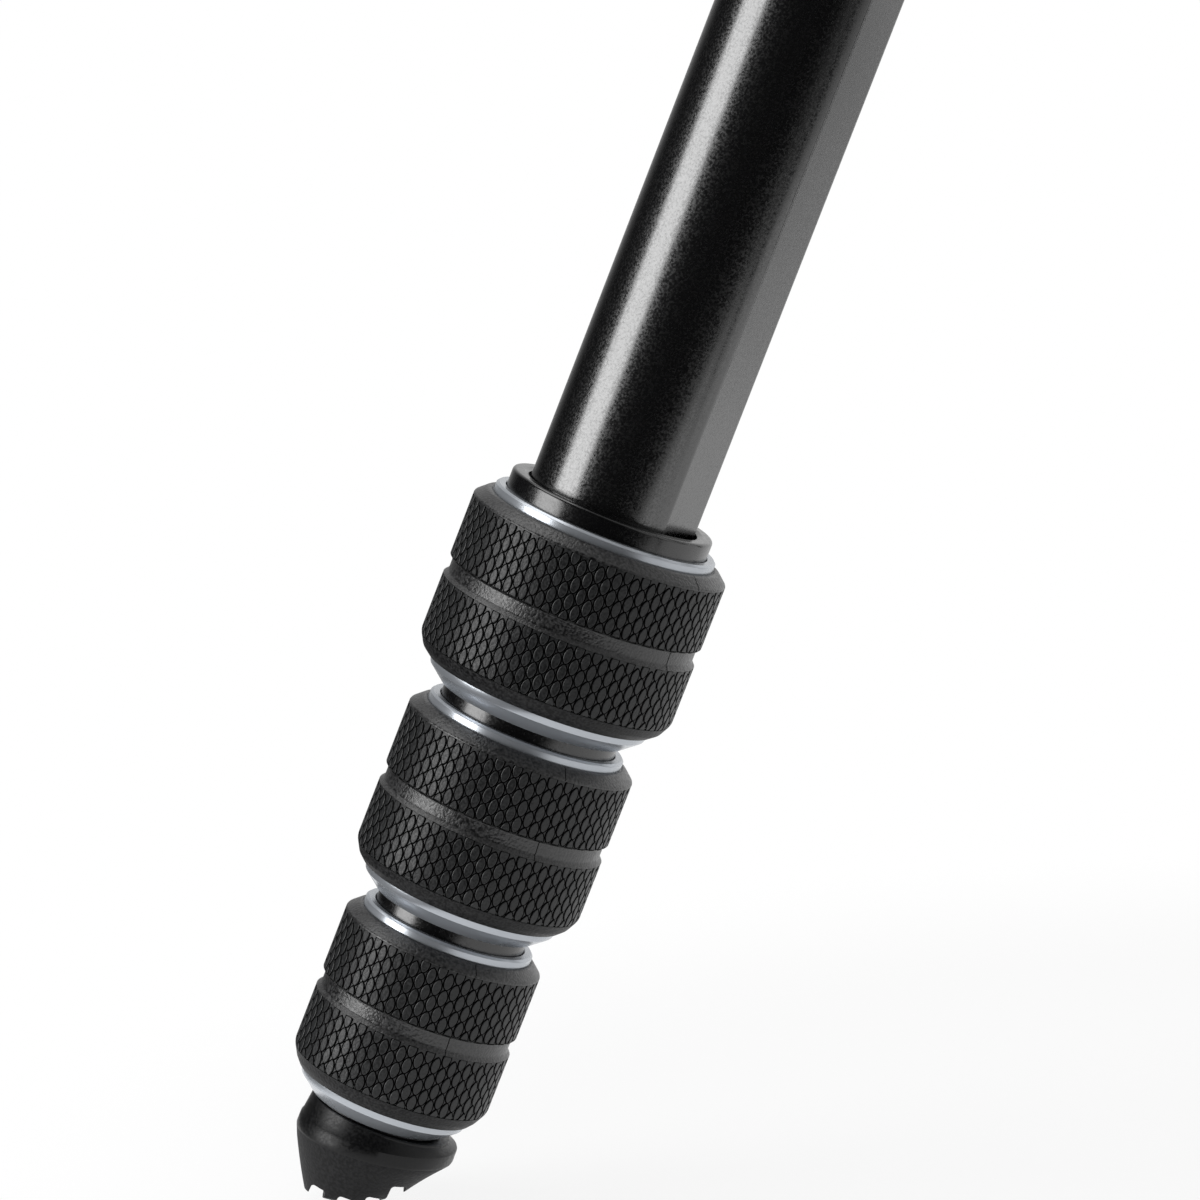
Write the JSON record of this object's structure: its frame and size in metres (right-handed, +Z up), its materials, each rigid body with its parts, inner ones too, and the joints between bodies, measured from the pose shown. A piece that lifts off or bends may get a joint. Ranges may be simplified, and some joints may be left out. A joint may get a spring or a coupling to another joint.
{
  "type": "video tripod",
  "caption": "Compact video tripod with twist-lock telescoping legs, rising centre column, pan and tilt head, pan bar and sliding quick-release plate.",
  "frame": {"origin": "on the floor, on the centre column's axis, with the legs at their working spread", "axes": "+Z up along the column; leg 1's foot points to -X, as does the front of the head; +Y to the side of the head that carries the pan bar"},
  "size_m": [0.3379, 0.2866, 0.474],
  "materials": {
    "black_anodised": "black anodised, semi-gloss",
    "cast_black": "black powder coat with a fine grain",
    "silver_metal": "silver anodised, satin",
    "steel": "plain",
    "rubber": "matt moulded",
    "black_plastic": "matt moulded",
    "level_window": "clear window over green fluid"
  },
  "bodies": {
    "crown": {"crown": "cast_black", "bubble_level": "level_window", "leg_hinge_pins": "steel"},
    "column": {"centre_column": "black_anodised", "head_plate": "cast_black", "head_pad": "rubber", "column_cap": "black_plastic", "pan_base": "cast_black"},
    "column_lock": {"column_lock_sleeve": "silver_metal", "column_lock_grip": "rubber"},
    "pan_body": {"pan_body": "cast_black"},
    "pan_knob": {"pan_knob": "black_plastic"},
    "tilt_cradle": {"tilt_cradle": "cast_black"},
    "tilt_knob": {"tilt_knob": "black_plastic"},
    "plate": {"quick_release_plate": "black_anodised", "plate_pads": "rubber"},
    "camera_screw": {"camera_screw": "steel"},
    "plate_lever": {"plate_lever": "silver_metal"},
    "pan_bar": {"pan_bar": "black_anodised", "bar_grip": "rubber"},
    "bar_knob": {"bar_knob": "black_plastic"},
    "leg_1": {"leg_1_knuckle": "cast_black", "leg_1_tube_1": "black_anodised"},
    "leg_1_latch": {"leg_1_latch": "silver_metal"},
    "leg_1_section_2": {"leg_1_tube_2": "black_anodised"},
    "leg_1_section_3": {"leg_1_tube_3": "black_anodised"},
    "leg_1_section_4": {"leg_1_tube_4": "black_anodised", "leg_1_foot": "rubber"},
    "leg_1_collar_1": {"leg_1_sleeve_1": "silver_metal", "leg_1_grip_1": "rubber"},
    "leg_1_collar_2": {"leg_1_sleeve_2": "silver_metal", "leg_1_grip_2": "rubber"},
    "leg_1_collar_3": {"leg_1_sleeve_3": "silver_metal", "leg_1_grip_3": "rubber"},
    "leg_2": {"leg_2_knuckle": "cast_black", "leg_2_tube_1": "black_anodised"},
    "leg_2_latch": {"leg_2_latch": "silver_metal"},
    "leg_2_section_2": {"leg_2_tube_2": "black_anodised"},
    "leg_2_section_3": {"leg_2_tube_3": "black_anodised"},
    "leg_2_section_4": {"leg_2_tube_4": "black_anodised", "leg_2_foot": "rubber"},
    "leg_2_collar_1": {"leg_2_sleeve_1": "silver_metal", "leg_2_grip_1": "rubber"},
    "leg_2_collar_2": {"leg_2_sleeve_2": "silver_metal", "leg_2_grip_2": "rubber"},
    "leg_2_collar_3": {"leg_2_sleeve_3": "silver_metal", "leg_2_grip_3": "rubber"},
    "leg_3": {"leg_3_knuckle": "cast_black", "leg_3_tube_1": "black_anodised"},
    "leg_3_latch": {"leg_3_latch": "silver_metal"},
    "leg_3_section_2": {"leg_3_tube_2": "black_anodised"},
    "leg_3_section_3": {"leg_3_tube_3": "black_anodised"},
    "leg_3_section_4": {"leg_3_tube_4": "black_anodised", "leg_3_foot": "rubber"},
    "leg_3_collar_1": {"leg_3_sleeve_1": "silver_metal", "leg_3_grip_1": "rubber"},
    "leg_3_collar_2": {"leg_3_sleeve_2": "silver_metal", "leg_3_grip_2": "rubber"},
    "leg_3_collar_3": {"leg_3_sleeve_3": "silver_metal", "leg_3_grip_3": "rubber"}
  },
  "joints": [
    {"name": "leg_1_fold", "type": "hinge", "parent": "crown", "child": "leg_1", "pos_m": [-0.031, 0, 0.32886], "axis": [0, 1, 0], "range_deg": [-21, 58]},
    {"name": "leg_2_fold", "type": "hinge", "parent": "crown", "child": "leg_2", "pos_m": [0.0155, -0.02685, 0.32886], "axis": [-0.866, -0.5, 0], "range_deg": [-21, 58]},
    {"name": "leg_3_fold", "type": "hinge", "parent": "crown", "child": "leg_3", "pos_m": [0.0155, 0.02685, 0.32886], "axis": [0.866, -0.5, 0], "range_deg": [-21, 58]},
    {"name": "column_slide", "type": "slide", "parent": "crown", "child": "column", "axis": [0, 0, 1], "range_m": [0, 0.2]},
    {"name": "pan", "type": "hinge", "parent": "column", "child": "pan_body", "pos_m": [0, 0, 0.40036], "axis": [0, 0, 1], "continuous": true},
    {"name": "tilt", "type": "hinge", "parent": "pan_body", "child": "tilt_cradle", "pos_m": [0, 0, 0.43036], "axis": [0, 1, 0], "range_deg": [-80, 45]},
    {"name": "bar_angle", "type": "hinge", "parent": "tilt_cradle", "child": "pan_bar", "pos_m": [0.014, 0.0291, 0.43836], "axis": [0, 1, 0], "range_deg": [-60, 20]},
    {"name": "plate_slide", "type": "slide", "parent": "tilt_cradle", "child": "plate", "axis": [1, 0, 0], "range_m": [-0.01, 0.01]},
    {"name": "plate_lever_turn", "type": "hinge", "parent": "tilt_cradle", "child": "plate_lever", "pos_m": [-0.014, -0.0283, 0.45636], "axis": [0, 0, -1], "range_deg": [0, 75]},
    {"name": "column_lock_twist", "type": "hinge", "parent": "crown", "child": "column_lock", "pos_m": [0, 0, 0.35886], "axis": [0, 0, 1], "range_deg": [0, 100]},
    {"name": "leg_1_section_2_slide", "type": "slide", "parent": "leg_1", "child": "leg_1_section_2", "axis": [-0.3584, 0, -0.9336], "range_m": [0, 0.2]},
    {"name": "leg_1_section_3_slide", "type": "slide", "parent": "leg_1_section_2", "child": "leg_1_section_3", "axis": [-0.3584, 0, -0.9336], "range_m": [0, 0.225]},
    {"name": "leg_1_section_4_slide", "type": "slide", "parent": "leg_1_section_3", "child": "leg_1_section_4", "axis": [-0.3584, 0, -0.9336], "range_m": [0, 0.25]},
    {"name": "leg_1_collar_1_twist", "type": "hinge", "parent": "leg_1", "child": "leg_1_collar_1", "pos_m": [-0.031, 0, 0.32886], "axis": [-0.3584, 0, -0.9336], "range_deg": [0, 100]},
    {"name": "leg_1_collar_2_twist", "type": "hinge", "parent": "leg_1_section_2", "child": "leg_1_collar_2", "pos_m": [-0.031, 0, 0.32886], "axis": [-0.3584, 0, -0.9336], "range_deg": [0, 100]},
    {"name": "leg_1_collar_3_twist", "type": "hinge", "parent": "leg_1_section_3", "child": "leg_1_collar_3", "pos_m": [-0.031, 0, 0.32886], "axis": [-0.3584, 0, -0.9336], "range_deg": [0, 100]},
    {"name": "leg_1_latch_pull", "type": "slide", "parent": "leg_1", "child": "leg_1_latch", "axis": [-0.9336, 0, 0.3584], "range_m": [0, 0.005], "stiffness_N_per_m": 300, "springref_m": -0.003},
    {"name": "leg_2_latch_pull", "type": "slide", "parent": "leg_2", "child": "leg_2_latch", "axis": [0.4668, -0.8085, 0.3584], "range_m": [0, 0.005], "stiffness_N_per_m": 300, "springref_m": -0.003},
    {"name": "leg_3_latch_pull", "type": "slide", "parent": "leg_3", "child": "leg_3_latch", "axis": [0.4668, 0.8085, 0.3584], "range_m": [0, 0.005], "stiffness_N_per_m": 300, "springref_m": -0.003},
    {"name": "pan_knob_turn", "type": "hinge", "parent": "pan_body", "child": "pan_knob", "pos_m": [0, 0, 0.39436], "axis": [-0.342, -0.9397, 0], "range_deg": [0, 180]},
    {"name": "tilt_knob_turn", "type": "hinge", "parent": "tilt_cradle", "child": "tilt_knob", "pos_m": [0, -0.03, 0.43036], "axis": [0, -1, 0], "range_deg": [0, 180]},
    {"name": "bar_knob_turn", "type": "hinge", "parent": "pan_bar", "child": "bar_knob", "pos_m": [0.014, 0.04, 0.43836], "axis": [0, 1, 0], "range_deg": [0, 180]},
    {"name": "camera_screw_turn", "type": "hinge", "parent": "plate", "child": "camera_screw", "pos_m": [0, 0, 0.46846], "axis": [0, 0, 1], "continuous": true},
    {"name": "leg_2_section_2_slide", "type": "slide", "parent": "leg_2", "child": "leg_2_section_2", "axis": [0.1792, -0.3104, -0.9336], "range_m": [0, 0.2]},
    {"name": "leg_2_section_3_slide", "type": "slide", "parent": "leg_2_section_2", "child": "leg_2_section_3", "axis": [0.1792, -0.3104, -0.9336], "range_m": [0, 0.225]},
    {"name": "leg_2_section_4_slide", "type": "slide", "parent": "leg_2_section_3", "child": "leg_2_section_4", "axis": [0.1792, -0.3104, -0.9336], "range_m": [0, 0.25]},
    {"name": "leg_3_section_2_slide", "type": "slide", "parent": "leg_3", "child": "leg_3_section_2", "axis": [0.1792, 0.3104, -0.9336], "range_m": [0, 0.2]},
    {"name": "leg_3_section_3_slide", "type": "slide", "parent": "leg_3_section_2", "child": "leg_3_section_3", "axis": [0.1792, 0.3104, -0.9336], "range_m": [0, 0.225]},
    {"name": "leg_3_section_4_slide", "type": "slide", "parent": "leg_3_section_3", "child": "leg_3_section_4", "axis": [0.1792, 0.3104, -0.9336], "range_m": [0, 0.25]},
    {"name": "leg_2_collar_1_twist", "type": "hinge", "parent": "leg_2", "child": "leg_2_collar_1", "pos_m": [0.0155, -0.02685, 0.32886], "axis": [0.1792, -0.3104, -0.9336], "range_deg": [0, 100]},
    {"name": "leg_2_collar_2_twist", "type": "hinge", "parent": "leg_2_section_2", "child": "leg_2_collar_2", "pos_m": [0.0155, -0.02685, 0.32886], "axis": [0.1792, -0.3104, -0.9336], "range_deg": [0, 100]},
    {"name": "leg_2_collar_3_twist", "type": "hinge", "parent": "leg_2_section_3", "child": "leg_2_collar_3", "pos_m": [0.0155, -0.02685, 0.32886], "axis": [0.1792, -0.3104, -0.9336], "range_deg": [0, 100]},
    {"name": "leg_3_collar_1_twist", "type": "hinge", "parent": "leg_3", "child": "leg_3_collar_1", "pos_m": [0.0155, 0.02685, 0.32886], "axis": [0.1792, 0.3104, -0.9336], "range_deg": [0, 100]},
    {"name": "leg_3_collar_2_twist", "type": "hinge", "parent": "leg_3_section_2", "child": "leg_3_collar_2", "pos_m": [0.0155, 0.02685, 0.32886], "axis": [0.1792, 0.3104, -0.9336], "range_deg": [0, 100]},
    {"name": "leg_3_collar_3_twist", "type": "hinge", "parent": "leg_3_section_3", "child": "leg_3_collar_3", "pos_m": [0.0155, 0.02685, 0.32886], "axis": [0.1792, 0.3104, -0.9336], "range_deg": [0, 100]}
  ]
}
